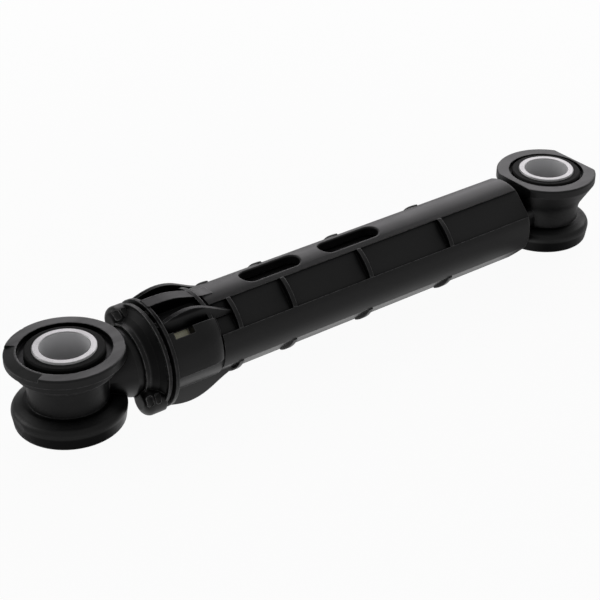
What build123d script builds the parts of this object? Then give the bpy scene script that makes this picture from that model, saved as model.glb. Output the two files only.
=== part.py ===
# Friction damper of a washing machine: a ribbed tube with a bell, a plunger that slides in it, two rubber eyes.
# Millimetres. The long axis is X, the eyes' axes are Z, the tube's eye is at the origin.
import math
import os

from build123d import *

os.makedirs("parts", exist_ok=True)

# Clearances
run_gap = 0.06
slide_gap = 0.3
seat_gap = 0.02

# Eyes
eye_span = 170.0
sleeve_r_in = 6.5
sleeve_wall = 1.9
sleeve_length = 23.2
sleeve_edge = 0.2
sleeve_proud = 0.7
bush_waist_wall = 1.0
bush_head_wall = 2.1
bush_head = 1.8
bush_flare = 2.6
bush_proud = 0.2
bush_edge = 0.4
tube_groove = 0.9
plunger_groove = 1.8
hub_wall = 1.3
flange_rim = 2.4
flange_edge = 0.55
trumpet_r = 15.2
trumpet_end = 1.0
trumpet_round = 9.0
trumpet_flats = ((1, 12.1), (-1, 13.4))
flange_r = 15.7
step_radii = (13.4, 12.0)
step_levels = (5.4, 6.6)
ramp_ledge = 0.5
ramp_drop = 0.8
ramp_start = 139.0
ramp_arc = 76.0
foot_height = 7.2
foot_ledge = 1.2
foot_lead = 0.25
foot_fall = 1.9
foot_r = 15.4
foot_flat = 14.9
foot_round = 2.0
foot_edge = 0.9
foot_taper = 0.8
tube_foot_r = 14.5

# Plunger
rod_r = 9.5
rod_wall = 1.4
neck_r = 6.7
neck_start = 8.6
neck_stop = 15.7
tip_gap = 0.5
tip_edge = 0.8

# Tube
tube_r = 12.5
bore_gap = 0.4
end_setback = 17.0
end_wall = 2.5
end_round = 1.4
panel_half = 21.0
panel_steps = ((45, 0.75), (135, 0.75), (225, 0.05), (315, 0.05))
rib_places = (46.8, 64.7, 91.5, 121.5)
rib_thick = 1.3
rib_proud = 0.3
slot_spans = ((54.8, 74.1), (81.7, 102.0))
slot_half = 2.9
slot_edge = 0.45
neck_width = 11.5
neck_height = 8.5
neck_drop = 0.8
neck_round = 2.5

# Bell
bell_face = 23.6
bell_rim_r = 15.2
bell_rim = 1.0
bell_depth = 16.4
bell_wall = 0.9
lining_thick = 1.6
fin_y = 7.3
fin_thick = 1.3
fin_top = (12.4, 13.7, 14.2, 13.3, 11.2, 9.4)
fin_steps = (0.0, 4.0, 8.0, 13.0, 17.5, 22.0)
rib_half = 2.0
rib_top_r = 15.35
rib_level = 5.0
rib_fall = 15.5
pad_low = -1.1
pad_high = 10.5
pad_r = 14.4
pad_level = 11.0
pad_length = 16.2
pad_end_r = 13.3
pocket_end = 17.2
bridge_place = 14.6
bridge_thick = 1.2
bridge_r = 13.5
bridge_low = 8.0
window_angle = 43.0
window_half = 1.0
window_start = 2.9
window_length = 6.0

# End cap
cap_rim_r = 14.4
cap_rim = 1.0
cap_groove = 0.8
cap_groove_r = 13.2
lip_face = 17.5
lip_wall = 0.6
lip_length = 1.2
dish_depth = 3.1
dish_r = 11.6
cap_rim_wall = 0.9
cap_spigot = 2.4
ears = ((131.0, 17.4, 10.6), (-47.0, 16.4, 11.4))
ear_r = 4.4
ear_dome = 2.2
ear_slot_steps = (1.2, 3.4)
ear_slot_rise = 1.2
ear_slot_width = 1.4
ear_slot_height = 2.6
ear_slot_round = 0.5
tab_angles = (81.0, 61.0, -99.0, -119.0)
tab_half = 3.2

# Friction linings and rings
lining_length = 5.2
spacer_thick = 1.2
strip_gap = 12.0
wiper_length = 2.0
wiper_thick = 1.1
guide_length = 5.0
guide_land = 3.0
guide_wall = 1.3
plug_flange = 1.2
plug_depth = 6.0
pad_stop_thick = 3.0
pad_stop_r = 9.4
pad_stop_hole = 3.0

# Sizes that follow
sleeve_r = sleeve_r_in + sleeve_wall
face_z = sleeve_length / 2 - sleeve_proud
bush_waist_r = sleeve_r + bush_waist_wall
bush_head_r = sleeve_r + bush_head_wall
bush_end_z = face_z + bush_proud
bush_head_z = bush_end_z - bush_head
bush_waist_half = bush_head_z - bush_flare
ramp_r = bush_head_r + plunger_groove + ramp_ledge
hub_r = bush_waist_r + hub_wall
foot_z = foot_height - face_z
plunger_x = -eye_span
cavity_r = rod_r + run_gap + lining_thick
core_r = cavity_r + bell_wall
bore_r = rod_r + bore_gap
bell_x = bell_face - eye_span
shoulder_x = bell_x + bell_depth
end_x = -end_setback
tube_end = eye_span - end_setback
stop_x = end_x - end_wall - pad_stop_thick
tip_x = stop_x - tip_gap
panel_reach = tube_r * math.sin(math.radians(panel_half))
panel_flat = tube_r * math.cos(math.radians(panel_half))
guide_x = tip_x - plug_flange - guide_land - guide_length
guide_r_in = rod_r - guide_wall + run_gap


def radial_plane(angle):
    """Plane through the long axis whose second direction points out at the angle, 0 at the front, 90 on top."""
    turn = math.radians(angle)
    return Plane(origin=(0, 0, 0), x_dir=(1, 0, 0), z_dir=(0, -math.sin(turn), -math.cos(turn)))


def cross_plane(place):
    """Plane across the long axis at a place along it, facing the plunger's eye."""
    return Plane(origin=(place, 0, 0), x_dir=(0, -1, 0), z_dir=(-1, 0, 0))


def cut_bush_hollow(place, groove):
    """Cuts the waisted hollow that holds a bush, and the groove round its heads, at a place along the long axis."""
    pocket_r = bush_head_r + groove
    with BuildSketch(Plane.XZ) as hollow:
        with BuildLine():
            Polyline(
                (place, -face_z),
                (place + pocket_r, -face_z),
                (place + pocket_r, -bush_head_z),
                (place + bush_head_r, -bush_head_z),
                (place + bush_waist_r, -bush_waist_half),
                (place + bush_waist_r, bush_waist_half),
                (place + bush_head_r, bush_head_z),
                (place + pocket_r, bush_head_z),
                (place + pocket_r, face_z),
                (place, face_z),
                close=True,
            )
        make_face()
    revolve(hollow.sketch.faces(), axis=Axis((place, 0, 0), (0, 0, 1)), mode=Mode.SUBTRACT)


def spool(place, corners):
    """Turns the spool of an eye at a place along the long axis, from corners given as radius, height and rounding."""
    with BuildSketch(Plane.XZ) as profile:
        with BuildLine():
            Polyline(
                (place, face_z),
                *[(place + radius, height) for radius, height, _ in corners],
                (place, -face_z),
                close=True,
            )
        make_face()
        for radius, height, rounding in corners:
            if rounding > 0:
                fillet(profile.vertices().sort_by_distance((place + radius, height, 0))[0], rounding)
    revolve(profile.sketch.faces(), axis=Axis((place, 0, 0), (0, 0, 1)))


def foot_corners(radius):
    """Corners of the thick lower flange of an eye, from its hub down to its edge at a radius."""
    return [
        (hub_r, foot_z, 0),
        (hub_r + foot_ledge, foot_z - foot_lead, 0),
        (radius, foot_z - foot_fall, foot_round),
        (radius - foot_taper, -face_z, foot_edge),
    ]


# Tube with its bell and eye
with BuildPart() as damper_tube:
    with BuildSketch(Plane.XZ):
        with BuildLine():
            Polyline(
                (bell_x, 0),
                (bell_x, core_r),
                (bell_x + pocket_end, core_r),
                (bell_x + pocket_end, tube_r),
                (end_x - end_round, tube_r),
            )
            RadiusArc((end_x - end_round, tube_r), (end_x, tube_r - end_round), end_round)
            Polyline((end_x, tube_r - end_round), (end_x, 0), (bell_x, 0))
        make_face()
    revolve(axis=Axis.X)
    # Four flat panels along the tube, with ribs left standing across them
    for angle, step in panel_steps:
        starts = [bell_face + pocket_end] + [place + rib_thick / 2 for place in rib_places]
        stops = [place - rib_thick / 2 for place in rib_places] + [tube_end + rib_thick]
        for start, stop in zip(starts, stops):
            with BuildSketch(radial_plane(angle).offset(-panel_reach)):
                with Locations(((start + stop) / 2 - eye_span, panel_flat - step + rib_proud * 10)):
                    Rectangle(stop - start, rib_proud * 20)
            extrude(amount=2 * panel_reach, mode=Mode.SUBTRACT)
        for place in rib_places:
            with BuildSketch(cross_plane(place - eye_span)):
                Circle(tube_r + rib_proud)
                with Locations((0, 0)):
                    Rectangle(4 * tube_r, 2 * panel_reach, rotation=angle, mode=Mode.INTERSECT)
                turn = math.radians(angle)
                with Locations((tube_r * math.cos(turn), tube_r * math.sin(turn))):
                    Rectangle(tube_r, 2 * panel_reach, rotation=angle, mode=Mode.INTERSECT)
            extrude(amount=rib_thick / 2, both=True)
    # Rim at the mouth of the bell
    with BuildSketch(cross_plane(bell_x)):
        Circle(bell_rim_r)
    extrude(amount=-bell_rim)
    # Broad rib and two arched fins, above and below
    for side in (1, -1):
        with BuildSketch(Plane.XZ):
            with BuildLine():
                Polyline(
                    (bell_x + rib_level + rib_fall, side * bore_r),
                    (bell_x + bell_rim / 2, side * bore_r),
                    (bell_x + bell_rim / 2, side * rib_top_r),
                    (bell_x + rib_level, side * rib_top_r),
                )
                Spline(
                    (bell_x + rib_level, side * rib_top_r),
                    (bell_x + rib_level + rib_fall / 2, side * (rib_top_r + tube_r) / 2),
                    (bell_x + rib_level + rib_fall, side * tube_r),
                    tangents=[(1, 0), (1, 0)],
                )
                Line(
                    (bell_x + rib_level + rib_fall, side * tube_r),
                    (bell_x + rib_level + rib_fall, side * bore_r),
                )
            make_face()
        extrude(amount=rib_half, both=True)
        for offset in (fin_y, -fin_y):
            with BuildSketch(Plane.XZ.offset(offset)):
                arch = [(bell_x + bell_rim / 2 + s, side * t) for s, t in zip(fin_steps, fin_top)]
                with BuildLine():
                    Spline(*arch)
                    Polyline(
                        arch[-1],
                        (arch[-1][0], side * fin_top[-1] * 0.9),
                        (arch[0][0], side * fin_top[-1] * 0.9),
                        arch[0],
                    )
                make_face()
            extrude(amount=fin_thick / 2, both=True)
    # Smooth pads at the front and the back of the bell
    pad_top_angle = math.degrees(math.asin(pad_high / pad_r))
    pad_low_angle = math.degrees(math.asin(pad_low / pad_r))
    for start, arc in ((pad_top_angle, 1), (180 - pad_top_angle, -1)):
        with BuildSketch(radial_plane(start)):
            with BuildLine():
                Polyline(
                    (bell_x + pad_length, cavity_r + bell_wall / 2),
                    (bell_x + bell_rim / 2, cavity_r + bell_wall / 2),
                    (bell_x + bell_rim / 2, pad_r),
                    (bell_x + pad_level, pad_r),
                )
                Spline(
                    (bell_x + pad_level, pad_r),
                    (bell_x + pad_length, pad_end_r),
                    tangents=[(1, 0), (1, -0.6)],
                )
                Line((bell_x + pad_length, pad_end_r), (bell_x + pad_length, cavity_r + bell_wall / 2))
            make_face()
        revolve(axis=Axis.X, revolution_arc=arc * (pad_top_angle - pad_low_angle))
    # Low bridges across the pockets of the bell
    with BuildSketch(cross_plane(bell_x + bridge_place)):
        Circle(bridge_r)
        with Locations((0, bridge_low + tube_r)):
            Rectangle(4 * tube_r, 2 * tube_r, mode=Mode.INTERSECT)
    extrude(amount=-bridge_thick)
    # Neck and spool of the eye, whose upper flange has two flats
    with BuildSketch(cross_plane(end_x - end_wall / 2)):
        with Locations((0, -neck_drop)):
            RectangleRounded(neck_width, neck_height, neck_round)
    extrude(amount=end_x - end_wall / 2)
    trumpet = [
        (trumpet_r, face_z, flange_edge),
        (trumpet_r, face_z - flange_rim, 0),
        (hub_r, trumpet_end, trumpet_round),
    ]
    spool(0, trumpet + foot_corners(tube_foot_r))
    for side, flat in trumpet_flats:
        with Locations((side * (trumpet_r + flat) / 2, 0, face_z)):
            Box(trumpet_r - flat, 2 * trumpet_r, face_z, mode=Mode.SUBTRACT)
    cut_bush_hollow(0, tube_groove)
    # Hollow of the bell and bore of the tube
    with BuildSketch(Plane.XZ):
        with BuildLine():
            Polyline(
                (bell_x, 0),
                (bell_x, cavity_r),
                (shoulder_x, cavity_r),
                (shoulder_x, bore_r),
                (end_x - end_wall, bore_r),
                (end_x - end_wall, 0),
                close=True,
            )
        make_face()
    revolve(axis=Axis.X, mode=Mode.SUBTRACT)
    # Slots on top of the tube
    for start, stop in slot_spans:
        with BuildSketch(Plane.XY.offset(bore_r / 2)):
            with Locations(((start + stop) / 2 - eye_span, 0)):
                SlotOverall(stop - start, 2 * slot_half)
        extrude(amount=tube_r, mode=Mode.SUBTRACT)
    for start, stop in slot_spans:
        rims = damper_tube.edges().filter_by_position(Axis.X, start - eye_span - 1, stop - eye_span + 1)
        rims = rims.filter_by_position(Axis.Y, -slot_half - 0.1, slot_half + 0.1)
        fillet(rims.filter_by_position(Axis.Z, tube_r * 0.95, tube_r + 0.1), slot_edge)
    # Windows at the pads' upper edges, where the lining shows
    for angle in (window_angle, 180 - window_angle):
        with BuildSketch(radial_plane(angle).offset(-window_half)):
            with Locations((bell_x + window_start + window_length / 2, cavity_r + pad_r / 2)):
                Rectangle(window_length, pad_r + bell_wall)
        extrude(amount=2 * window_half, mode=Mode.SUBTRACT)
damper_tube.part.label = "damper_tube"
export_step(damper_tube.part, "parts/damper_tube.step")

# End cap with its lip and ears
with BuildPart() as end_cap:
    cap_x = bell_x - cap_groove - cap_rim
    lip_x = lip_face - eye_span
    lip_r = rod_r + slide_gap + lip_wall
    with BuildSketch(Plane.XZ):
        with BuildLine():
            Polyline(
                (lip_x, rod_r + slide_gap),
                (lip_x, lip_r),
                (lip_x + lip_length, lip_r),
                (lip_x + dish_depth, dish_r),
                (cap_x + cap_rim / 2, cap_rim_r - cap_rim_wall),
                (cap_x, cap_rim_r - cap_rim_wall),
                (cap_x, cap_rim_r),
                (cap_x + cap_rim, cap_rim_r),
                (cap_x + cap_rim, cap_groove_r),
                (bell_x, cap_groove_r),
                (bell_x, cavity_r - run_gap),
                (bell_x + cap_spigot, cavity_r - run_gap),
                (bell_x + cap_spigot, rod_r + slide_gap),
                close=True,
            )
        make_face()
    revolve(axis=Axis.X)
    for angle in tab_angles:
        with BuildSketch(radial_plane(angle + tab_half)):
            with Locations((bell_x - cap_groove / 2, (cap_groove_r + cap_rim_r) / 2 - lip_wall / 2)):
                Rectangle(cap_groove, cap_rim_r - cap_groove_r)
        revolve(axis=Axis.X, revolution_arc=2 * tab_half)
    # Domed ears, each with two loops through it
    for angle, face, middle_r in ears:
        turn = math.radians(angle)
        ear_x = face - eye_span
        with BuildSketch(radial_plane(angle)):
            with BuildLine():
                FilletPolyline(
                    (ear_x, middle_r),
                    (ear_x, middle_r + ear_r),
                    (cap_x + cap_rim / 2, middle_r + ear_r),
                    radius=ear_dome,
                )
                Polyline(
                    (cap_x + cap_rim / 2, middle_r + ear_r),
                    (cap_x + cap_rim / 2, middle_r),
                    (ear_x, middle_r),
                )
            make_face()
        revolve(axis=Axis((0, -middle_r * math.cos(turn), middle_r * math.sin(turn)), (1, 0, 0)))
        with BuildSketch(radial_plane(angle)):
            with Locations(*[(ear_x + step, middle_r + ear_slot_rise) for step in ear_slot_steps]):
                RectangleRounded(ear_slot_width, ear_slot_height, ear_slot_round)
        extrude(amount=ear_r, both=True, mode=Mode.SUBTRACT)
    with BuildSketch(cross_plane(lip_x - cap_rim_r)):
        Circle(rod_r + slide_gap)
    extrude(amount=lip_x - cap_rim_r - bell_x - cap_spigot, mode=Mode.SUBTRACT)
    with BuildSketch(Plane.XZ):
        with Locations((bell_x, rod_r + slide_gap)):
            Rectangle(wiper_length, 2 * (wiper_thick + run_gap - slide_gap))
    revolve(axis=Axis.X, mode=Mode.SUBTRACT)
end_cap.part.label = "end_cap"
export_step(end_cap.part, "parts/end_cap.step")

# Felt ring inside the cap
with BuildPart() as wiper_ring:
    with BuildSketch(Plane.XZ):
        with Locations((bell_x, rod_r + run_gap + wiper_thick / 2)):
            Rectangle(wiper_length, wiper_thick)
    revolve(axis=Axis.X)
wiper_ring.part.label = "wiper_ring"
export_step(wiper_ring.part, "parts/wiper_ring.step")

# Linings, each a strip bent round the plunger, and the rings beside them
stop_ring_x = shoulder_x - spacer_thick
rear_x = stop_ring_x - lining_length
spacer_x = rear_x - spacer_thick
front_x = spacer_x - lining_length

with BuildPart() as lining_front:
    with BuildSketch(radial_plane(90 - strip_gap / 2)):
        with Locations((front_x + lining_length / 2, rod_r + run_gap + lining_thick / 2)):
            Rectangle(lining_length, lining_thick)
    revolve(axis=Axis.X, revolution_arc=360 - strip_gap)
lining_front.part.label = "lining_front"
export_step(lining_front.part, "parts/lining_front.step")

with BuildPart() as lining_rear:
    with BuildSketch(radial_plane(-90 - strip_gap / 2)):
        with Locations((rear_x + lining_length / 2, rod_r + run_gap + lining_thick / 2)):
            Rectangle(lining_length, lining_thick)
    revolve(axis=Axis.X, revolution_arc=360 - strip_gap)
lining_rear.part.label = "lining_rear"
export_step(lining_rear.part, "parts/lining_rear.step")

with BuildPart() as lining_spacer:
    with BuildSketch(cross_plane(spacer_x)):
        Circle(cavity_r)
        Circle(rod_r + slide_gap, mode=Mode.SUBTRACT)
    extrude(amount=-spacer_thick)
lining_spacer.part.label = "lining_spacer"
export_step(lining_spacer.part, "parts/lining_spacer.step")

with BuildPart() as lining_stop:
    with BuildSketch(cross_plane(stop_ring_x)):
        Circle(cavity_r)
        Circle(rod_r + slide_gap, mode=Mode.SUBTRACT)
    extrude(amount=-spacer_thick)
lining_stop.part.label = "lining_stop"
export_step(lining_stop.part, "parts/lining_stop.step")

# Rubber pad at the closed end of the tube
with BuildPart() as bump_stop:
    with BuildSketch(cross_plane(stop_x)):
        Circle(pad_stop_r)
        Circle(pad_stop_hole, mode=Mode.SUBTRACT)
    extrude(amount=-pad_stop_thick)
    chamfer(bump_stop.faces().sort_by(Axis.X)[0].outer_wire().edges(), tip_edge)
bump_stop.part.label = "bump_stop"
export_step(bump_stop.part, "parts/bump_stop.step")

# Plunger with its eye
with BuildPart() as plunger:
    with BuildSketch(Plane.XZ):
        with BuildLine():
            Polyline(
                (plunger_x, 0),
                (plunger_x, neck_r),
                (plunger_x + neck_start, neck_r),
                (plunger_x + neck_stop, rod_r),
                (guide_x, rod_r),
                (guide_x, rod_r - guide_wall),
                (guide_x + guide_length, rod_r - guide_wall),
                (guide_x + guide_length, rod_r),
                (tip_x - plug_flange, rod_r),
                (tip_x - plug_flange, 0),
                close=True,
            )
        make_face()
    revolve(axis=Axis.X)
    collar = [(flange_r, face_z, flange_edge), (flange_r, face_z - flange_rim, 0)]
    level = face_z - flange_rim - foot_lead
    for radius, depth in zip(step_radii, step_levels):
        collar += [(radius, level, 0), (radius, face_z - depth, 0)]
        level = face_z - depth - foot_lead
    spool(plunger_x, collar + [(hub_r, level, 0)] + foot_corners(foot_r))
    # Flat on the foot and ramp on the upper flange, at the outer end
    with Locations((plunger_x - foot_flat - foot_r / 2, 0, -face_z)):
        Box(foot_r, 2 * foot_r, 2 * foot_height, mode=Mode.SUBTRACT)
    turn = math.radians(ramp_start)
    ramp_plane = Plane(
        origin=(plunger_x, 0, 0),
        x_dir=(math.cos(turn), math.sin(turn), 0),
        z_dir=(math.sin(turn), -math.cos(turn), 0),
    )
    with BuildSketch(ramp_plane):
        with BuildLine():
            Polyline(
                (ramp_r, face_z),
                (2 * flange_r - ramp_r, face_z - 2 * ramp_drop),
                (2 * flange_r - ramp_r, face_z + ramp_drop),
                (ramp_r, face_z + ramp_drop),
                close=True,
            )
        make_face()
    revolve(axis=Axis((plunger_x, 0, 0), (0, 0, 1)), revolution_arc=ramp_arc, mode=Mode.SUBTRACT)
    cut_bush_hollow(plunger_x, plunger_groove)
    with BuildSketch(cross_plane(tip_x - plug_flange)):
        Circle(rod_r - guide_wall - rod_wall)
    extrude(amount=tip_x - plug_flange - plunger_x - neck_stop, mode=Mode.SUBTRACT)
plunger.part.label = "plunger"
export_step(plunger.part, "parts/plunger.step")

# Guide ring in its groove near the plunger's inner end
with BuildPart() as guide_ring:
    with BuildSketch(cross_plane(guide_x + run_gap)):
        Circle(bore_r - run_gap)
        Circle(guide_r_in, mode=Mode.SUBTRACT)
    extrude(amount=-(guide_length - 2 * run_gap))
guide_ring.part.label = "guide_ring"
export_step(guide_ring.part, "parts/guide_ring.step")

# Plug that closes the plunger's inner end
with BuildPart() as tip_plug:
    with BuildSketch(cross_plane(tip_x)):
        Circle(rod_r)
    extrude(amount=plug_flange)
    with BuildSketch(cross_plane(tip_x - plug_flange)):
        Circle(rod_r - guide_wall - rod_wall - seat_gap)
    extrude(amount=plug_depth)
    chamfer(tip_plug.faces().sort_by(Axis.X)[-1].edges(), plug_flange / 2)
tip_plug.part.label = "tip_plug"
export_step(tip_plug.part, "parts/tip_plug.step")

# Bushes and sleeves of the two eyes
with BuildPart() as tube_eye_bush:
    with BuildSketch(Plane.XZ):
        with BuildLine():
            Polyline(
                (sleeve_r, -bush_end_z),
                (bush_head_r - bush_edge, -bush_end_z),
                (bush_head_r, bush_edge - bush_end_z),
                (bush_head_r, -bush_head_z),
                (bush_waist_r, -bush_waist_half),
                (bush_waist_r, bush_waist_half),
                (bush_head_r, bush_head_z),
                (bush_head_r, bush_end_z - bush_edge),
                (bush_head_r - bush_edge, bush_end_z),
                (sleeve_r, bush_end_z),
                close=True,
            )
        make_face()
    revolve(axis=Axis.Z)
tube_eye_bush.part.label = "tube_eye_bush"
export_step(tube_eye_bush.part, "parts/tube_eye_bush.step")

with BuildPart() as plunger_eye_bush:
    with Locations((plunger_x, 0, 0)):
        add(tube_eye_bush.part)
plunger_eye_bush.part.label = "plunger_eye_bush"
export_step(plunger_eye_bush.part, "parts/plunger_eye_bush.step")

with BuildPart() as tube_eye_sleeve:
    with BuildSketch(Plane.XY.offset(-sleeve_length / 2)):
        Circle(sleeve_r)
        Circle(sleeve_r_in, mode=Mode.SUBTRACT)
    extrude(amount=sleeve_length)
    chamfer(tube_eye_sleeve.edges().filter_by(GeomType.CIRCLE), sleeve_edge)
tube_eye_sleeve.part.label = "tube_eye_sleeve"
export_step(tube_eye_sleeve.part, "parts/tube_eye_sleeve.step")

with BuildPart() as plunger_eye_sleeve:
    with Locations((plunger_x, 0, 0)):
        add(tube_eye_sleeve.part)
plunger_eye_sleeve.part.label = "plunger_eye_sleeve"
export_step(plunger_eye_sleeve.part, "parts/plunger_eye_sleeve.step")
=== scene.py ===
"""Dresses a washing machine's friction damper and stands it in a white studio."""
import logging
import math
from dataclasses import dataclass, field
from enum import Enum
from typing import Dict, List, Optional, Sequence, Tuple

import bpy
import numpy as np
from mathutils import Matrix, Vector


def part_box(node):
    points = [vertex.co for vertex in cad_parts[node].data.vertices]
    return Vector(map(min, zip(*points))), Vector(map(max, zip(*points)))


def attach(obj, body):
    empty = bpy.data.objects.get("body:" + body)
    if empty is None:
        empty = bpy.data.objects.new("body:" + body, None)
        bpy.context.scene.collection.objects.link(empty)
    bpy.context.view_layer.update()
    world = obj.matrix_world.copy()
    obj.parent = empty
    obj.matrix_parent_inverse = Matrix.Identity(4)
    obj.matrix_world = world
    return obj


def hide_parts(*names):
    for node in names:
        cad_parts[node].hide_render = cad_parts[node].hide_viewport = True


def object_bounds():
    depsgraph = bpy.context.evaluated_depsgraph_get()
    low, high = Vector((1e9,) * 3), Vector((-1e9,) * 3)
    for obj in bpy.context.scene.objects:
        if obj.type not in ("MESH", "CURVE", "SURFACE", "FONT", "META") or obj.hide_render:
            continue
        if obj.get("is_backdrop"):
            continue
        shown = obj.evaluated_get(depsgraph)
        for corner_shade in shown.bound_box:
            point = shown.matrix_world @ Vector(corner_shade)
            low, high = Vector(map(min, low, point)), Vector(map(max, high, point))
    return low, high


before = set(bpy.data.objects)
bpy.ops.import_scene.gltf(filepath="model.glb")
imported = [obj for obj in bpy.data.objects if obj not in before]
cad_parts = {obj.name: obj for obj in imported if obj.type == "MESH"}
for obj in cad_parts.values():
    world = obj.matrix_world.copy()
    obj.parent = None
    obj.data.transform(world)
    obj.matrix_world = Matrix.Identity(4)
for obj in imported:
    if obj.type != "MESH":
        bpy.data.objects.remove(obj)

LOG = logging.getLogger("damper")
Colour = Tuple[float, float, float]
Point = Tuple[float, float, float]
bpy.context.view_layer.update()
HOUSING_BODY = "housing"
MASK_FADE = 0.0002


class Rays(Enum):
    """Kinds of light path that a stage surface can answer in its own way."""

    CAMERA = "Is Camera Ray"
    GLOSSY = "Is Glossy Ray"
    TRANSMISSION = "Is Transmission Ray"


class Slot(Enum):
    """Material slots of the pieces that the scene makes anew."""

    FOAM = "greased_foam"
    FELT = "felt"


class NodeTree:
    """Places nodes in a shader tree and links them by name."""

    def __init__(self, tree: bpy.types.NodeTree) -> None:
        """Keeps the tree that the nodes go into.

        Args:
            tree: Tree of a material, a world or a node group.
        """
        self.tree = tree

    @classmethod
    def of_material(cls, name: str) -> Tuple["NodeTree", bpy.types.Material]:
        """Makes an empty material.

        Args:
            name: Name of the material.

        Returns:
            Its tree and the material.
        """
        material = bpy.data.materials.new(name)
        material.use_nodes = True
        material.node_tree.nodes.clear()
        return cls(material.node_tree), material

    def add(self, kind: str, settings: Optional[Dict[str, object]] = None,
            **inputs: object) -> bpy.types.Node:
        """Adds one node.

        Args:
            kind: Node type without its ShaderNode prefix, or a full type name.
            settings: Properties of the node itself.
            **inputs: Values or sockets to link, by input name with _ for a space, or i0, i1 for a place.

        Returns:
            The new node.
        """
        full = kind if kind.startswith("Node") else "ShaderNode" + kind
        node = self.tree.nodes.new(full)
        for name, value in (settings or {}).items():
            setattr(node, name, value)
        for name, value in inputs.items():
            socket = self.socket(node, name)
            if isinstance(value, bpy.types.NodeSocket):
                self.tree.links.new(value, socket)
            else:
                socket.default_value = value
        return node

    @staticmethod
    def socket(node: bpy.types.Node, name: str) -> bpy.types.NodeSocket:
        """Finds an input by its name or its place.

        Args:
            node: Node that has the input.
            name: Socket name with _ for a space, or i and a number.

        Returns:
            The input socket.
        """
        if name[0] == "i" and name[1:].isdigit():
            return node.inputs[int(name[1:])]
        return node.inputs[name.replace("_", " ")]

    def place(self) -> bpy.types.NodeSocket:
        """Returns the Object coordinates, which on every piece are the part's own frame."""
        return self.add("TexCoord").outputs["Object"]

    def facing_up(self) -> bpy.types.NodeSocket:
        """Returns the upward share of the surface's own normal."""
        normal = self.add("NewGeometry").outputs["Normal"]
        return self.add("SeparateXYZ", None, Vector=normal).outputs["Z"]

    def noise(self, place: bpy.types.NodeSocket, scale: object, detail: float,
              rough: float) -> bpy.types.NodeSocket:
        """Adds a noise texture.

        Args:
            place: Coordinates.
            scale: Cells per metre, or a socket that gives them.
            detail: Octaves.
            rough: Share of each finer octave.

        Returns:
            The noise value.
        """
        node = self.add("TexNoise", None, Vector=place, Scale=scale, Detail=detail, Roughness=rough)
        return node.outputs[0]

    def radius(self, centre: Point, axis: int) -> bpy.types.NodeSocket:
        """Gives the distance from a line along one of the part's axes.

        Args:
            centre: Point on the line.
            axis: Number of the axis, 0 for X to 2 for Z.

        Returns:
            The distance in metres.
        """
        centred = self.add("VectorMath", {"operation": "SUBTRACT"}, i0=self.place(), i1=centre).outputs[0]
        keep = tuple(0.0 if place == axis else 1.0 for place in range(3))
        across = self.add("VectorMath", {"operation": "MULTIPLY"}, i0=centred, i1=keep).outputs[0]
        return self.add("VectorMath", {"operation": "LENGTH"}, i0=across).outputs["Value"]

    def maths(self, operation: str, first: object, second: object = 0.0,
              clamp: bool = False) -> bpy.types.NodeSocket:
        """Adds a Math node and returns its result.

        Args:
            operation: Name of the operation.
            first: First value or socket.
            second: Second value or socket.
            clamp: Whether the result is held between 0 and 1.

        Returns:
            The result socket.
        """
        node = self.add("Math", {"operation": operation, "use_clamp": clamp}, i0=first, i1=second)
        return node.outputs[0]

    def ramp(self, value: bpy.types.NodeSocket, low: object, high: object,
             start: float = 0.0, stop: float = 1.0) -> bpy.types.NodeSocket:
        """Maps a value from one range to another, held at its ends.

        Args:
            value: Socket to map.
            low: Value or socket that gives start.
            high: Value or socket that gives stop.
            start: Result at low.
            stop: Result at high.

        Returns:
            The mapped socket.
        """
        node = self.add("MapRange", {"clamp": True}, Value=value,
                        From_Min=low, From_Max=high, To_Min=start, To_Max=stop)
        return node.outputs["Result"]

    def mix(self, factor: object, first: object, second: object) -> bpy.types.NodeSocket:
        """Mixes two colours.

        Args:
            factor: Share of the second colour.
            first: Colour or socket at 0.
            second: Colour or socket at 1.

        Returns:
            The mixed colour socket.
        """
        return self.add("Mix", {"data_type": "RGBA"}, i0=factor, i6=first, i7=second).outputs[2]

    def blend(self, factor: object, first: object, second: object) -> bpy.types.NodeSocket:
        """Mixes two values.

        Args:
            factor: Share of the second value.
            first: Value or socket at 0.
            second: Value or socket at 1.

        Returns:
            The mixed value socket.
        """
        return self.add("Mix", {"data_type": "FLOAT"}, i0=factor, i2=first, i3=second).outputs[0]


def rgba(colour: Colour, gain: float = 1.0) -> Tuple[float, float, float, float]:
    """Adds a full alpha to a colour, times a gain."""
    return (*(gain * c for c in colour), 1.0)


def middle_of(node: str) -> Point:
    """Returns the middle of a CAD node's box."""
    return tuple(float(c) for c in np.mean(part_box(node), axis=0))


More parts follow.
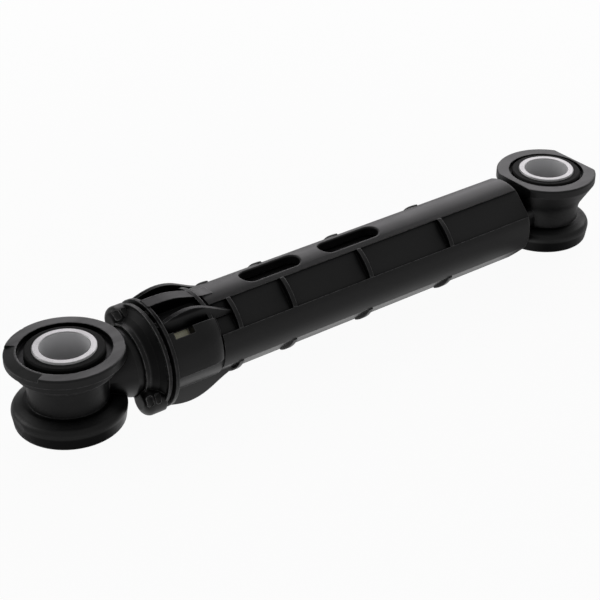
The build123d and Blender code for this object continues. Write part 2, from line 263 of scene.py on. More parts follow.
class EffectGroups:
    """Shader node groups that the finishes share, each built once."""

    def __init__(self) -> None:
        """Builds every group."""
        self.grain = self._build_grain()
        self.edge = self._build_edge()
        self.dust = self._build_dust()
        self.flow = self._build_flow()
        self.cells = self._build_cells()
        self.cavity = self._build_cavity()
        self.sole_shadow = self._build_sole_shadow()

    @staticmethod
    def _start(name: str, inputs: Dict[str, float],
               outputs: Dict[str, str]) -> Tuple[NodeTree, bpy.types.Node, bpy.types.Node]:
        """Opens a group with its sockets.

        Args:
            name: Name of the group.
            inputs: Input names and their first values.
            outputs: Output names and their kinds, Float, Color or Vector.

        Returns:
            The tree, the group's input node and its output node.
        """
        tree = bpy.data.node_groups.new(name, "ShaderNodeTree")
        for label, value in inputs.items():
            socket = tree.interface.new_socket(label, in_out="INPUT", socket_type="NodeSocketFloat")
            socket.default_value = value
        for label, kind in outputs.items():
            tree.interface.new_socket(label, in_out="OUTPUT", socket_type="NodeSocket" + kind)
        nodes = NodeTree(tree)
        return nodes, nodes.add("NodeGroupInput"), nodes.add("NodeGroupOutput")

    def _build_grain(self) -> bpy.types.NodeTree:
        """Fine pits of a moulded skin, with slow patches where it is a little smoother.

        Returns:
            The group, with outputs Height and Patch from 0 to 1.
        """
        nodes, source, result = self._start(
            "moulded_grain", {"Pit Scale": 2600.0, "Patch Scale": 60.0},
            {"Height": "Float", "Patch": "Float"})
        place = nodes.place()
        pits = nodes.noise(place, source.outputs["Pit Scale"], 3.0, 0.6)
        patch = nodes.noise(place, source.outputs["Patch Scale"], 4.0, 0.65)
        nodes.tree.links.new(pits, result.inputs["Height"])
        nodes.tree.links.new(nodes.ramp(patch, 0.3, 0.7), result.inputs["Patch"])
        return nodes.tree

    def _build_edge(self) -> bpy.types.NodeTree:
        """Rounded edges and the places where they wear from rubbing, which the mouldings also lighten as
        painted highlights.

        The rounded normal comes from a Bevel node. The mask of wear and painted highlight is where it leaves
        the flat normal, broken up by noise.

        Returns:
            The group, with outputs the normal and the mask of wear and painted highlight, from 0 to 1.
        """
        nodes, source, result = self._start(
            "edge_round", {"Radius": 0.0004, "Breakup Scale": 700.0}, {"Normal": "Vector", "Wear And Highlight": "Float"})
        bevel = nodes.add("Bevel", {"samples": 6}, Radius=source.outputs["Radius"])
        flat = nodes.add("NewGeometry").outputs["Normal"]
        alike = nodes.add("VectorMath", {"operation": "DOT_PRODUCT"}, i0=bevel.outputs[0], i1=flat)
        bend = nodes.ramp(alike.outputs["Value"], 0.995, 0.85)
        broken = nodes.ramp(nodes.noise(nodes.place(), source.outputs["Breakup Scale"], 5.0, 0.7), 0.34, 0.56)
        nodes.tree.links.new(bevel.outputs[0], result.inputs["Normal"])
        nodes.tree.links.new(nodes.maths("MULTIPLY", bend, broken), result.inputs["Wear And Highlight"])
        return nodes.tree

    def _build_dust(self) -> bpy.types.NodeTree:
        """Thin dust on faces that look up, in soft specks.

        Returns:
            The group, with output Mask from 0 to 1.
        """
        nodes, source, result = self._start(
            "settled_dust", {"Speck Scale": 1400.0, "Amount": 0.3}, {"Mask": "Float"})
        place = nodes.place()
        fine = nodes.ramp(nodes.noise(place, source.outputs["Speck Scale"], 6.0, 0.7), 0.52, 0.75)
        cloud = nodes.ramp(nodes.noise(place, 90.0, 3.0, 0.5), 0.35, 0.65)
        upward = nodes.ramp(nodes.facing_up(), 0.1, 0.9)
        lying = nodes.maths("MULTIPLY", nodes.maths("MULTIPLY", fine, cloud), upward)
        mask = nodes.maths("MULTIPLY", lying, source.outputs["Amount"], True)
        nodes.tree.links.new(mask, result.inputs["Mask"])
        return nodes.tree

    def _build_flow(self) -> bpy.types.NodeTree:
        """Faint streaks along the long axis, left by the melt and by sliding.

        Returns:
            The group, with output Streak from 0 to 1.
        """
        nodes, source, result = self._start("flow_streaks", {"Scale": 500.0}, {"Streak": "Float"})
        drawn = nodes.add("Mapping", None, Vector=nodes.place(), Scale=(0.04, 1.0, 1.0)).outputs[0]
        streak = nodes.ramp(nodes.noise(drawn, source.outputs["Scale"], 4.0, 0.6), 0.3, 0.7)
        nodes.tree.links.new(streak, result.inputs["Streak"])
        return nodes.tree

    def _build_sole_shadow(self) -> bpy.types.NodeTree:
        """A painted shadow along the lower edge of an eye's foot, where it stands.

        Returns:
            The group, with one output, the painted shadow, from 0 to 1.
        """
        nodes, source, result = self._start(
            "painted_sole_shadow", {"Eye X": 0.0, "Reach": 0.0155, "Level": -0.0073}, {"Sole Shadow": "Float"})
        place = nodes.add("SeparateXYZ", None, Vector=nodes.place())
        aside = nodes.maths("ABSOLUTE", nodes.maths("SUBTRACT", place.outputs["X"], source.outputs["Eye X"]))
        within = nodes.maths("LESS_THAN", aside, source.outputs["Reach"])
        under = nodes.maths("SUBTRACT", source.outputs["Level"], place.outputs["Z"])
        sole_shadow_mask = nodes.maths("MULTIPLY", within, nodes.ramp(under, -0.0003, 0.0003))
        nodes.tree.links.new(sole_shadow_mask, result.inputs["Sole Shadow"])
        return nodes.tree

    def _build_cavity(self) -> bpy.types.NodeTree:
        """Corners and pockets, from how far the surface is shut in. The black mouldings paint shade there,
        and edge wear stays out of them.

        Returns:
            The group, with output Open from 0 in a pocket to 1 on a free face.
        """
        nodes, source, result = self._start(
            "shut_in", {"Distance": 0.006, "Low": 0.42, "High": 0.82}, {"Open": "Float"})
        shut = nodes.add("AmbientOcclusion", {"samples": 8, "only_local": True},
                         Distance=source.outputs["Distance"]).outputs["AO"]
        free = nodes.ramp(shut, source.outputs["Low"], source.outputs["High"])
        nodes.tree.links.new(free, result.inputs["Open"])
        return nodes.tree

    def _build_cells(self) -> bpy.types.NodeTree:
        """Open cells or matted tufts of a soft material.

        Returns:
            The group, with outputs Height and Shade from 0 to 1.
        """
        nodes, source, result = self._start(
            "soft_cells", {"Cell Scale": 3000.0}, {"Height": "Float", "Shade": "Float"})
        place = nodes.place()
        scale = source.outputs["Cell Scale"]
        cell = nodes.add("TexVoronoi", {"feature": "F1"}, Vector=place, Scale=scale).outputs["Distance"]
        tuft = nodes.noise(place, scale, 4.0, 0.7)
        height = nodes.maths("ADD", nodes.ramp(cell, 0.0, 0.7), nodes.maths("MULTIPLY", tuft, 0.5))
        nodes.tree.links.new(height, result.inputs["Height"])
        nodes.tree.links.new(nodes.ramp(height, 0.3, 1.1), result.inputs["Shade"])
        return nodes.tree


@dataclass(frozen=True)
class MouldedPlastic:
    """Satin moulded plastic with a fine skin, flow streaks, edges lightened by wear and as painted
    highlights, and a little dust.
    """

    name: str
    base: Colour
    edge_wear_and_highlight: Colour
    roughness: float
    edge_radius: float = 0.0004
    pit_depth: float = 0.000004
    streak: float = 0.06
    dust: float = 0.03
    gloss: float = 0.5
    dust_colour: Colour = (0.3, 0.29, 0.28)

    def build(self, effects: EffectGroups) -> bpy.types.Material:
        """Makes the material.

        Args:
            effects: The shared node groups.

        Returns:
            The new material.
        """
        nodes, material = NodeTree.of_material(self.name)
        grain = nodes.add("Group", {"node_tree": effects.grain})
        edge = nodes.add("Group", {"node_tree": effects.edge}, Radius=self.edge_radius)
        dust = nodes.add("Group", {"node_tree": effects.dust}, Amount=self.dust)
        flow = nodes.add("Group", {"node_tree": effects.flow})
        free = nodes.add("Group", {"node_tree": effects.cavity}).outputs["Open"]
        tone = nodes.mix(grain.outputs["Patch"], rgba(self.base, 0.85), rgba(self.base, 1.2))
        outward = nodes.maths("POWER", free, 3.0)
        # Edge colour: wear from rubbing, lightened further as painted highlights along the edges.
        rubbed_and_highlit = nodes.mix(nodes.maths("MULTIPLY", edge.outputs["Wear And Highlight"], outward), tone, rgba(self.edge_wear_and_highlight))
        colour = nodes.mix(dust.outputs["Mask"], rubbed_and_highlit, rgba(self.dust_colour))
        patched = nodes.ramp(grain.outputs["Patch"], 0.0, 1.0, self.roughness - 0.04, self.roughness + 0.04)
        streaked = nodes.ramp(flow.outputs["Streak"], 0.0, 1.0, -self.streak / 2, self.streak / 2)
        bump = nodes.add("Bump", None, Strength=0.25, Distance=self.pit_depth,
                         Height=grain.outputs["Height"], Normal=edge.outputs["Normal"])
        shader = nodes.add("BsdfPrincipled", None, Base_Color=colour, Specular_IOR_Level=self.gloss,
                           Metallic=self.painted_shade(nodes, effects, free),
                           Roughness=nodes.maths("ADD", patched, streaked), Normal=bump.outputs[0])
        nodes.add("OutputMaterial", None, Surface=shader.outputs[0])
        return material

    def painted_shade(self, nodes: NodeTree, effects: EffectGroups, free: bpy.types.NodeSocket) -> object:
        """Returns how much of the mirror is lost to painted shade, which is none on a plain moulding."""
        return 0.0


@dataclass(frozen=True)
class BlackMoulding(MouldedPlastic):
    """Black plastic or rubber whose mirror is taken away where it is shut in, as painted shade.

    The painted shade is a metallic share, because a metal as dark as this base mirrors almost nothing.
    """

    pocket_shaded_shine: float = 0.06

    def painted_shade(self, nodes: NodeTree, effects: EffectGroups, free: bpy.types.NodeSocket) -> object:
        """Returns how much of the mirror is lost to painted shade: most of it in pockets, and what the
        piece's own painted shade takes.

        Args:
            nodes: Tree of the material.
            effects: The shared node groups.
            free: How open the surface lies, from 0 to 1.

        Returns:
            The lost share as a socket.
        """
        # Painted shade: the mirror is mostly taken away in pockets.
        opened = nodes.ramp(free, 0.0, 1.0, self.pocket_shaded_shine, 1.0)
        return nodes.maths("SUBTRACT", 1.0, nodes.maths("MULTIPLY", self.unshaded_share(nodes, effects), opened))

    def unshaded_share(self, nodes: NodeTree, effects: EffectGroups) -> object:
        """Returns the share of the mirror that the piece's own painted shade leaves, which is all of it on a
        piece without any.
        """
        return 1.0


@dataclass(frozen=True)
class FootedPlastic(BlackMoulding):
    """Black plastic of a piece with an eye.

    Its foot has a painted shadow along the lower edge, and its bell, if it has one, painted shade on its
    upper crown. The groove round the bush and the corner between hub and foot also have painted shade, which
    takes their mirror away.
    """

    eye: Point = (0.0, 0.0, 0.0)
    groove_radius: float = 0.012
    groove_level: float = 0.009
    groove_shaded_shine: float = 0.08
    hub_radius: float = 0.0107
    corner_radius: float = 0.0134
    corner_fade: float = 0.0016
    corner_shaded_shine: float = 0.3
    crown_level: float = 0.0126
    crown_fade: float = 0.0006
    crown_shaded_shine: float = 0.2
    sole_shadow_shine: float = 0.25

    def unshaded_share(self, nodes: NodeTree, effects: EffectGroups) -> object:
        """Returns the share of the mirror that is left: less under the foot's painted shadow, on the crown,
        in the groove and in the corner, all painted shade.

        Args:
            nodes: Tree of the material.
            effects: The shared node groups.

        Returns:
            The share as a socket.
        """
        # Painted shadow along the lower edge of the foot, which takes its mirror away.
        sole_shadow_mask = nodes.add("Group", {"node_tree": effects.sole_shadow}, Eye_X=self.eye[0]).outputs["Sole Shadow"]
        outside_sole_shadow = nodes.ramp(sole_shadow_mask, 0.0, 1.0, 1.0, self.sole_shadow_shine)
        radius = nodes.radius(self.eye, 2)
        height = nodes.add("SeparateXYZ", None, Vector=nodes.place()).outputs["Z"]
        # Painted shade on the bell's upper crown, which dims its mirror.
        crown_end = self.crown_level + self.crown_fade
        crown_shade = nodes.ramp(height, self.crown_level, crown_end, 1.0, self.crown_shaded_shine)
        # Painted shade in the groove round the bush.
        beside = nodes.ramp(radius, self.groove_radius, self.groove_radius + MASK_FADE)
        between = nodes.maths("LESS_THAN", nodes.maths("ABSOLUTE", height), self.groove_level)
        groove_shade = nodes.ramp(nodes.maths("MAXIMUM", beside, between), 0.0, 1.0, self.groove_shaded_shine, 1.0)
        # Painted shade in the corner between hub and foot.
        outside = nodes.ramp(radius, self.corner_radius - self.corner_fade, self.corner_radius)
        hub = self.hub_radius
        on_hub = nodes.ramp(radius, hub + MASK_FADE / 2, hub + 2 * MASK_FADE, 1.0, 0.0)
        above = nodes.maths("GREATER_THAN", height, 0.0)
        off_corner = nodes.maths("MAXIMUM", nodes.maths("MAXIMUM", outside, on_hub), above)
        corner_shade = nodes.ramp(off_corner, 0.0, 1.0, self.corner_shaded_shine, 1.0)
        left_by_sole_and_crown = nodes.maths("MULTIPLY", outside_sole_shadow, crown_shade)
        return nodes.maths("MULTIPLY", left_by_sole_and_crown, nodes.maths("MULTIPLY", groove_shade, corner_shade))


@dataclass(frozen=True)
class DishedPlastic(BlackMoulding):
    """Black plastic of the cap, whose dish round the rod has painted shade that takes its mirror away."""

    lip_radius: float = 0.0105
    dish_radius: float = 0.0134
    dish_shaded_shine: float = 0.35

    def unshaded_share(self, nodes: NodeTree, effects: EffectGroups) -> object:
        """Returns the share of the mirror that is left: less in the dish, between its lip and its rim, as
        painted shade.

        Args:
            nodes: Tree of the material.
            effects: The shared node groups, not used here.

        Returns:
            The share as a socket.
        """
        # Painted shade in the dish between lip and rim.
        radius = nodes.radius((0.0, 0.0, 0.0), 0)
        edge = self.dish_radius
        rim = nodes.ramp(radius, edge - MASK_FADE, edge + MASK_FADE, self.dish_shaded_shine, 1.0)
        lip = nodes.ramp(radius, self.lip_radius, self.lip_radius + MASK_FADE, 1.0, self.dish_shaded_shine)
        return nodes.maths("MAXIMUM", rim, lip)


@dataclass(frozen=True)
class PlatedSteel:
    """Zinc-plated steel tube: turned rings on its ends, and a streaked bore with painted light near its
    mouths and painted shade deeper inside.
    """

    name: str
    centre: Point
    half_length: float
    base: Colour = (0.4, 0.397, 0.4)
    lit_mouth: Colour = (0.95, 0.95, 0.96)
    bore: Colour = (0.53, 0.53, 0.535)
    lit_mouth_depth: float = 0.007
    roughness: float = 0.3
    bore_roughness: float = 0.2
    bore_metal: float = 0.15

    def build(self, effects: EffectGroups) -> bpy.types.Material:
        """Makes the material.

        Args:
            effects: The shared node groups.

        Returns:
            The new material.
        """
        nodes, material = NodeTree.of_material(self.name)
        to_origin = tuple(-c for c in self.centre)
        centred = nodes.add("Mapping", None, Vector=nodes.place(), Location=to_origin).outputs[0]
        rings = nodes.add("TexWave", {"wave_type": "RINGS", "rings_direction": "Z"}, Vector=centred,
                          Scale=900.0, Distortion=1.5, Detail=3.0, Detail_Scale=2.0)
        drawn = nodes.add("Mapping", None, Vector=centred, Scale=(1.0, 1.0, 0.06)).outputs[0]
        streaks = nodes.noise(drawn, 1500.0, 4.0, 0.6)
        flat = nodes.ramp(nodes.maths("ABSOLUTE", nodes.facing_up()), 0.5, 0.8)
        lines = nodes.blend(flat, streaks, rings.outputs["Fac"])
        grain = nodes.add("Group", {"node_tree": effects.grain}, Patch_Scale=140.0)
        edge = nodes.add("Group", {"node_tree": effects.edge}, Radius=0.0003)
        lined = nodes.ramp(lines, 0.2, 0.8, self.roughness - 0.05, self.roughness + 0.07)
        walled = nodes.ramp(flat, 0.0, 1.0, self.bore_roughness, 0.0)
        patched = nodes.ramp(grain.outputs["Patch"], 0.0, 1.0, -0.03, 0.05)
        dulled = nodes.ramp(grain.outputs["Patch"], 0.2, 0.9, 0.0, 0.6)
        # Painted light near the bore's mouths, fading to painted shade deep inside.
        height = nodes.maths("ABSOLUTE", nodes.add("SeparateXYZ", None, Vector=centred).outputs["Z"])
        toward_lit_mouth = nodes.ramp(height, self.half_length - self.lit_mouth_depth, self.half_length)
        wall_light_and_shade = nodes.mix(toward_lit_mouth, rgba(self.bore), rgba(self.lit_mouth))
        bare = nodes.mix(flat, wall_light_and_shade, rgba(self.base))
        colour = nodes.mix(nodes.maths("MULTIPLY", dulled, flat), bare, rgba(self.base, 0.86))
        rough = nodes.maths("ADD", nodes.maths("ADD", lined, patched), walled)
        metal = nodes.ramp(flat, 0.0, 1.0, self.bore_metal, 1.0)
        bump = nodes.add("Bump", None, Strength=0.15, Distance=0.00001, Height=lines,
                         Normal=edge.outputs["Normal"])
        shader = nodes.add("BsdfPrincipled", None, Base_Color=colour, Roughness=rough, Metallic=metal,
                           Normal=bump.outputs[0])
        nodes.add("OutputMaterial", None, Surface=shader.outputs[0])
        return material


@dataclass(frozen=True)
class SoftStuff:
    """Foam or felt: open cells, darker in their depths, with a wet film where it is greased."""

    name: str
    light: Colour
    dark: Colour
    cell_scale: float
    cell_depth: float
    roughness: float
    film: float = 0.0

    def build(self, effects: EffectGroups) -> bpy.types.Material:
        """Makes the material.

        Args:
            effects: The shared node groups.

        Returns:
            The new material.
        """
        nodes, material = NodeTree.of_material(self.name)
        cells = nodes.add("Group", {"node_tree": effects.cells}, Cell_Scale=self.cell_scale)
        grain = nodes.add("Group", {"node_tree": effects.grain}, Patch_Scale=400.0)
        colour = nodes.mix(cells.outputs["Shade"], rgba(self.dark), rgba(self.light))
        rough = nodes.ramp(grain.outputs["Patch"], 0.0, 1.0, self.roughness - 0.1, self.roughness + 0.1)
        bump = nodes.add("Bump", None, Strength=0.5, Distance=self.cell_depth, Height=cells.outputs["Height"])
        shader = nodes.add("BsdfPrincipled", None, Base_Color=colour, Roughness=rough, Normal=bump.outputs[0],
                           Coat_Weight=self.film, Coat_Roughness=0.2)
        nodes.add("OutputMaterial", None, Surface=shader.outputs[0])
        return material


@dataclass(frozen=True)
class Finishes:
    """Every finish of the damper, as materials."""

    tube: bpy.types.Material
    cap: bpy.types.Material
    slide: bpy.types.Material
    pale: bpy.types.Material
    rubber: bpy.types.Material
    foam: bpy.types.Material
    felt: bpy.types.Material

    @classmethod
    def build(cls, effects: EffectGroups) -> "Finishes":
        """Makes every finish but the sleeves', which each sleeve centres on itself.

        Args:
            effects: The shared node groups.

        Returns:
            The set of materials.
        """
        black = (0.006, 0.006, 0.0063)
        # Light edge colour: partly wear, partly painted highlights along the edges.
        rubbed_and_highlit = (0.17, 0.17, 0.172)
        tube = FootedPlastic("black_moulding", black, rubbed_and_highlit, 0.4,
                             eye=middle_of("tube_eye_sleeve"), groove_radius=0.0114)
        slide = FootedPlastic("plunger_moulding", black, rubbed_and_highlit, 0.38, streak=0.14,
                              eye=middle_of("plunger_eye_sleeve"), groove_radius=0.0123)
        # The cap's edge colour is lighter still: painted highlights on its rims, besides their wear.
        cap = DishedPlastic("cap_moulding", (0.005, 0.005, 0.0052), (0.36, 0.36, 0.362), 0.42)
        pale = MouldedPlastic("bearing_plastic", (0.6, 0.57, 0.5), (0.7, 0.68, 0.62), 0.45)
        rubber = BlackMoulding("bush_rubber", (0.004, 0.004, 0.004), (0.01, 0.01, 0.01), 0.7,
                               pit_depth=0.00001, streak=0.0, gloss=0.22, pocket_shaded_shine=0.14)
        # The foam's pale cream colour is raised near white: partly painted light, which brightens it in the
        # shaded window.
        foam = SoftStuff("greased_foam", (0.96, 0.93, 0.7), (0.8, 0.76, 0.5), 2600.0, 0.00012, 0.4, film=0.6)
        felt = SoftStuff("wiper_felt", (0.1, 0.095, 0.09), (0.04, 0.038, 0.036), 4200.0, 0.00008, 0.9)
        return cls(
            tube=tube.build(effects),
            cap=cap.build(effects),
            slide=slide.build(effects),
            pale=pale.build(effects),
            rubber=rubber.build(effects),
            foam=foam.build(effects),
            felt=felt.build(effects),
        )


def dress(names: Sequence[str], material: bpy.types.Material) -> None:
    """Gives CAD nodes one material.

    Args:
        names: Node names.
        material: Material that they all take.
    """
    for name in names:
        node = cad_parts[name]
        node.data.materials.clear()
        node.data.materials.append(material)
        LOG.info("%s dressed with %s", name, material.name)


@dataclass
class SoftRing:
    """A strip of foam or felt bent round the plunger, open at a gap or closed."""

    node: str
    slot: Slot
    inner_radius: float
    gap_deg: float
    gap_centre_deg: float
    squareness: float = 5.0
    dent: float = 0.00006
    dents: int = 41
    rounding_deg: float = 5.0
    steps_round: int = 240
    steps_section: int = 48

    def build(self, material: bpy.types.Material) -> bpy.types.Object:
        """Makes the strip in the space of its CAD solid and lets it stand for that solid.

        Args:
            material: Finish of the strip.

        Returns:
            The new piece.
        """
        points, faces = self._surface()
        mesh = bpy.data.meshes.new(self.node + "_soft")
        mesh.from_pydata(points.tolist(), [], faces)
        mesh.polygons.foreach_set("use_smooth", np.ones(len(mesh.polygons), dtype=bool))
        mesh.materials.append(material)
        piece = bpy.data.objects.new(self.node + "_soft", mesh)
        bpy.context.scene.collection.objects.link(piece)
        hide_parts(self.node)
        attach(piece, HOUSING_BODY)
        LOG.info("%s built with %d points", piece.name, len(points))
        return piece

    @property
    def whole(self) -> bool:
        """Whether the strip closes on itself."""
        return self.gap_deg == 0

    def _surface(self) -> Tuple[np.ndarray, List[Tuple[int, ...]]]:
        """Works out the surface.

        The section is a superellipse: length and thickness each times the signed power of the cosine and the
        sine of v. It is carried round the long axis by the angle u, shrinks to a point as a quarter circle at
        the gap's two sides, and the thickness sinks a little by a sine of u and v, as squeezed foam does.

        Returns:
            The points in metres and the faces.
        """
        low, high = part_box(self.node)
        outer_radius = (high[1] - low[1]) / 2
        middle_x = (low[0] + high[0]) / 2
        middle_r = (outer_radius + self.inner_radius) / 2
        half_length = (high[0] - low[0]) / 2
        half_thick = (outer_radius - self.inner_radius) / 2
        span = 360.0 - self.gap_deg
        start = self.gap_centre_deg + self.gap_deg / 2
        along = np.linspace(0.0, span, self.steps_round, endpoint=not self.whole)
        if not self.whole:
            along = along[1:-1]
        around = np.linspace(0.0, 2 * math.pi, self.steps_section, endpoint=False)
        u, v = np.meshgrid(along, around, indexing="ij")
        near_end = np.clip(np.minimum(u, span - u) / self.rounding_deg, 0.0, 1.0)
        shrink = np.ones_like(u) if self.whole else np.sqrt(1.0 - (1.0 - near_end) ** 2)
        power = 2.0 / self.squareness
        length = np.sign(np.cos(v)) * np.abs(np.cos(v)) ** power
        thick = np.sign(np.sin(v)) * np.abs(np.sin(v)) ** power
        turn = np.radians(start + u)
        sink = self.dent * (0.5 + 0.5 * np.sin(self.dents * turn) * np.cos(2.0 * v))
        radius = middle_r + thick * (half_thick - sink) * shrink
        x = middle_x + length * half_length * shrink
        grid = np.stack([x, -radius * np.cos(turn), radius * np.sin(turn)], axis=-1).reshape(-1, 3)
        faces = self._side_faces(len(along))
        if self.whole:
            return grid, faces
        ends = np.radians(np.array([start, start + span]))
        poles = np.stack([np.full(2, middle_x), -middle_r * np.cos(ends), middle_r * np.sin(ends)], axis=-1)
        return np.concatenate([grid, poles]), faces + self._end_faces(len(along))

    def _side_faces(self, rows: int) -> List[Tuple[int, ...]]:
        """Joins each section to the next one, and the last to the first on a closed ring.

        Args:
            rows: Number of sections.

        Returns:
            The quads.
        """
        columns = self.steps_section
        i, j = np.meshgrid(np.arange(rows if self.whole else rows - 1), np.arange(columns), indexing="ij")
        near = i * columns
        far = ((i + 1) % rows) * columns
        after = (j + 1) % columns
        quads = np.stack([near + j, far + j, far + after, near + after], axis=-1).reshape(-1, 4)
        return [tuple(quad) for quad in quads.tolist()]

    def _end_faces(self, rows: int) -> List[Tuple[int, ...]]:
        """Closes the two ends of an open strip with fans on its two poles, which follow the grid's points.

        Args:
            rows: Number of sections.

        Returns:
            The triangles.
        """
        columns = self.steps_section
        ring = np.arange(columns)
        follow = (ring + 1) % columns
        tail = (rows - 1) * columns
        first_pole = np.full(columns, rows * columns)
        head = np.stack([first_pole, ring, follow], axis=-1)
        end = np.stack([tail + ring, first_pole + 1, tail + follow], axis=-1)
        return [tuple(triangle) for triangle in np.concatenate([head, end]).tolist()]


@dataclass
class Housing:
    """The tube with its bell and cap, and what is clamped inside it."""

    shell: str = "damper_tube"
    cap: str = "end_cap"
    rings: Sequence[str] = ("lining_spacer", "lining_stop")
    bump_pad: str = "bump_stop"
    strip_radius: float = 0.00956
    strip_gap_deg: float = 12.0
    strips: Sequence[Tuple[str, float]] = (("lining_front", 90.0), ("lining_rear", -90.0))
    wiper: str = "wiper_ring"
    foam_fill: float = 0.9

    def build(self, finishes: Finishes) -> None:
        """Dresses the mouldings and makes the soft strips.

        Args:
            finishes: The damper's materials.
        """
        dress((self.shell,), finishes.tube)
        dress((self.cap,), finishes.cap)
        dress(self.rings, finishes.pale)
        dress((self.bump_pad,), finishes.rubber)
        for node, gap_centre in self.strips:
            strip = SoftRing(node, Slot.FOAM, self.strip_radius, self.strip_gap_deg, gap_centre)
            strip.build(finishes.foam)
        SoftRing(self.wiper, Slot.FELT, self.strip_radius, 0.0, 0.0, dent=0.00003).build(finishes.felt)


@dataclass
class Plunger:
    """The sliding rod with its plug and the guide ring that runs in the tube."""

    mouldings: Sequence[str] = ("plunger", "tip_plug")
    guide: str = "guide_ring"

    def build(self, finishes: Finishes) -> None:
        """Dresses the rod, the plug and the ring.

        Args:
            finishes: The damper's materials.
        """
        dress(self.mouldings, finishes.slide)
        dress((self.guide,), finishes.pale)


@dataclass
class Eye:
    """A mounting eye's rubber bush and the steel sleeve in it."""

    bush: str
    sleeve: str

    def build(self, finishes: Finishes, effects: EffectGroups) -> None:
        """Dresses the bush and the sleeve, whose rings are centred on its own axis.

        Args:
            finishes: The damper's materials.
            effects: The shared node groups.
        """
        dress((self.bush,), finishes.rubber)
        low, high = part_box(self.sleeve)
        half_length = float(high[2] - low[2]) / 2
        zinc = PlatedSteel(self.sleeve + "_zinc", middle_of(self.sleeve), half_length)
        dress((self.sleeve,), zinc.build(effects))


@dataclass(frozen=True)
class Softbox:
    """A square lamp that looks at a point."""

    name: str
    place: Point
    size: float
    watts: float
    colour: Colour
    target: Point = (-0.08, 0.0, 0.0)

    def build(self) -> None:
        """Places the lamp."""
        lamp = bpy.data.lights.new(self.name, "AREA")
        lamp.shape = "SQUARE"
        lamp.size = self.size
        lamp.energy = self.watts
        lamp.color = self.colour
        body = bpy.data.objects.new(self.name, lamp)
        body.location = self.place
        aim = np.subtract(self.target, self.place)
        body.rotation_euler = (
            math.atan2(math.hypot(aim[0], aim[1]), -aim[2]), 0.0, math.atan2(aim[0], -aim[1]) + math.pi)
        body.visible_camera = False
        bpy.context.scene.collection.objects.link(body)
        LOG.info("%s placed", self.name)


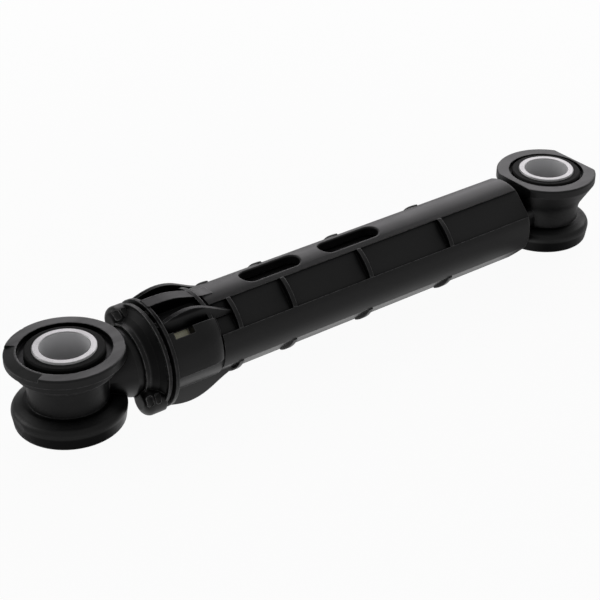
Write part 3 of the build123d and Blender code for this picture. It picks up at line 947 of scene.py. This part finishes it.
@dataclass
class Studio:
    """White floor, soft light from behind and the photograph's camera."""

    camera_place: Point = (-0.32796, -0.31037, 0.23040)
    pitch_deg: float = 30.90
    yaw_deg: float = 36.88
    lens_mm: float = 96.0
    sensor_mm: float = 36.0
    floor_half: float = 6.0
    paper: Colour = (0.9, 0.9, 0.9)
    eye_share: float = 0.95
    clear_from: float = 0.1
    clear_to: float = 0.6
    glow_front: float = -0.034
    glow_back: float = -0.008
    glow_ends: Tuple[float, float] = (-0.164, -0.012)
    glow_fade: float = 0.008
    glow_low: float = 0.04
    glow_high: float = 0.88
    world_strength: float = 0.25
    lamps: Sequence[Softbox] = field(default_factory=lambda: (
        Softbox("back_softbox", (0.78, 1.06, 0.68), 1.1, 6.2, (1.0, 0.97, 1.0)),
        Softbox("left_softbox", (-1.0, 1.0, 0.8), 0.8, 3.0, (1.0, 0.99, 0.99)),
        Softbox("right_softbox", (1.35, 0.3, 0.75), 0.7, 2.5, (1.0, 0.99, 0.99)),
    ))

    def build(self) -> None:
        """Places the floor, the lamps, the world and the camera."""
        self._floor()
        for lamp in self.lamps:
            lamp.build()
        self._world()
        self._camera()

    def _floor(self) -> None:
        """Adds the pale floor at the part's lowest point."""
        level = float(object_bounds()[0][2])
        half = self.floor_half
        points = [(-half, -half, level), (half, -half, level), (half, half, level), (-half, half, level)]
        mesh = bpy.data.meshes.new("floor")
        mesh.from_pydata(points, [], [(0, 1, 2, 3)])
        mesh.materials.append(self._paper())
        floor = bpy.data.objects.new("floor", mesh)
        bpy.context.scene.collection.objects.link(floor)
        floor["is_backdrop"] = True

    def _paper(self) -> bpy.types.Material:
        """Makes the floor's paper: white to the eye but for a soft shadow, and lit up under the damper.

        Returns:
            The new material.
        """
        nodes, material = NodeTree.of_material("white_paper")
        paths = nodes.add("LightPath")
        place = nodes.place()
        middle = tuple(float(c) for c in np.mean(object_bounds(), axis=0))
        away = nodes.add("VectorMath", {"operation": "DISTANCE"}, i0=place, i1=middle).outputs["Value"]
        clear = nodes.ramp(away, self.clear_from, self.clear_to, self.eye_share, 1.0)
        seen = nodes.maths("MULTIPLY", paths.outputs[Rays.CAMERA.value], clear)
        glossy, through = (paths.outputs[kind.value] for kind in (Rays.GLOSSY, Rays.TRANSMISSION))
        mirrored = nodes.maths("MAXIMUM", glossy, through)
        lit = nodes.maths("MULTIPLY", mirrored, self._glow(nodes, place))
        diffuse = nodes.add("BsdfDiffuse", None, Color=rgba(self.paper))
        white = nodes.add("Emission", None, Color=(1.0, 1.0, 1.0, 1.0), Strength=1.0)
        surface = nodes.add("MixShader", None, i0=nodes.maths("MAXIMUM", seen, lit),
                            i1=diffuse.outputs[0], i2=white.outputs[0])
        nodes.add("OutputMaterial", None, Surface=surface.outputs[0])
        return material

    def _glow(self, nodes: NodeTree, place: bpy.types.NodeSocket) -> bpy.types.NodeSocket:
        """Returns how white the floor is in reflections: it rises towards the damper, between its feet.

        Args:
            nodes: Tree of the floor's material.
            place: Coordinates on the floor.

        Returns:
            The share of white.
        """
        spot = nodes.add("SeparateXYZ", None, Vector=place)
        left, right = self.glow_ends
        from_left = nodes.ramp(spot.outputs["X"], left, left + self.glow_fade)
        from_right = nodes.ramp(spot.outputs["X"], right, right - self.glow_fade)
        deep = nodes.ramp(spot.outputs["Y"], self.glow_front, self.glow_back)
        inside = nodes.maths("MULTIPLY", nodes.maths("MULTIPLY", from_left, from_right), deep)
        return nodes.ramp(inside, 0.0, 1.0, self.glow_low, self.glow_high)

    def _world(self) -> None:
        """Sets an even dim surround that is white only to the eye."""
        world = bpy.data.worlds.new("surround")
        world.use_nodes = True
        world.node_tree.nodes.clear()
        nodes = NodeTree(world.node_tree)
        paths = nodes.add("LightPath")
        strength = nodes.ramp(paths.outputs[Rays.CAMERA.value], 0.0, 1.0, self.world_strength, 1.0)
        glow = nodes.add("Background", None, Color=(1.0, 1.0, 1.0, 1.0), Strength=strength)
        nodes.add("OutputWorld", None, Surface=glow.outputs[0])
        bpy.context.scene.world = world

    def _camera(self) -> None:
        """Places the camera that the photograph's perspective gives."""
        lens = bpy.data.cameras.new("photo_camera")
        lens.lens = self.lens_mm
        lens.sensor_width = self.sensor_mm
        lens.clip_start = 0.01
        body = bpy.data.objects.new("photo_camera", lens)
        body.location = self.camera_place
        body.rotation_euler = (math.radians(90.0 - self.pitch_deg), 0.0, math.radians(-self.yaw_deg))
        bpy.context.scene.collection.objects.link(body)
        bpy.context.scene.camera = body


def main() -> None:
    """Builds the sub-assemblies in order and then the studio."""
    logging.basicConfig(level=logging.INFO, format="%(name)s: %(message)s")
    bpy.context.scene.view_settings.view_transform = "Standard"
    effects = EffectGroups()
    finishes = Finishes.build(effects)
    Housing().build(finishes)
    Plunger().build(finishes)
    Eye("tube_eye_bush", "tube_eye_sleeve").build(finishes, effects)
    Eye("plunger_eye_bush", "plunger_eye_sleeve").build(finishes, effects)
    Studio().build()


if __name__ == "__main__":
    main()
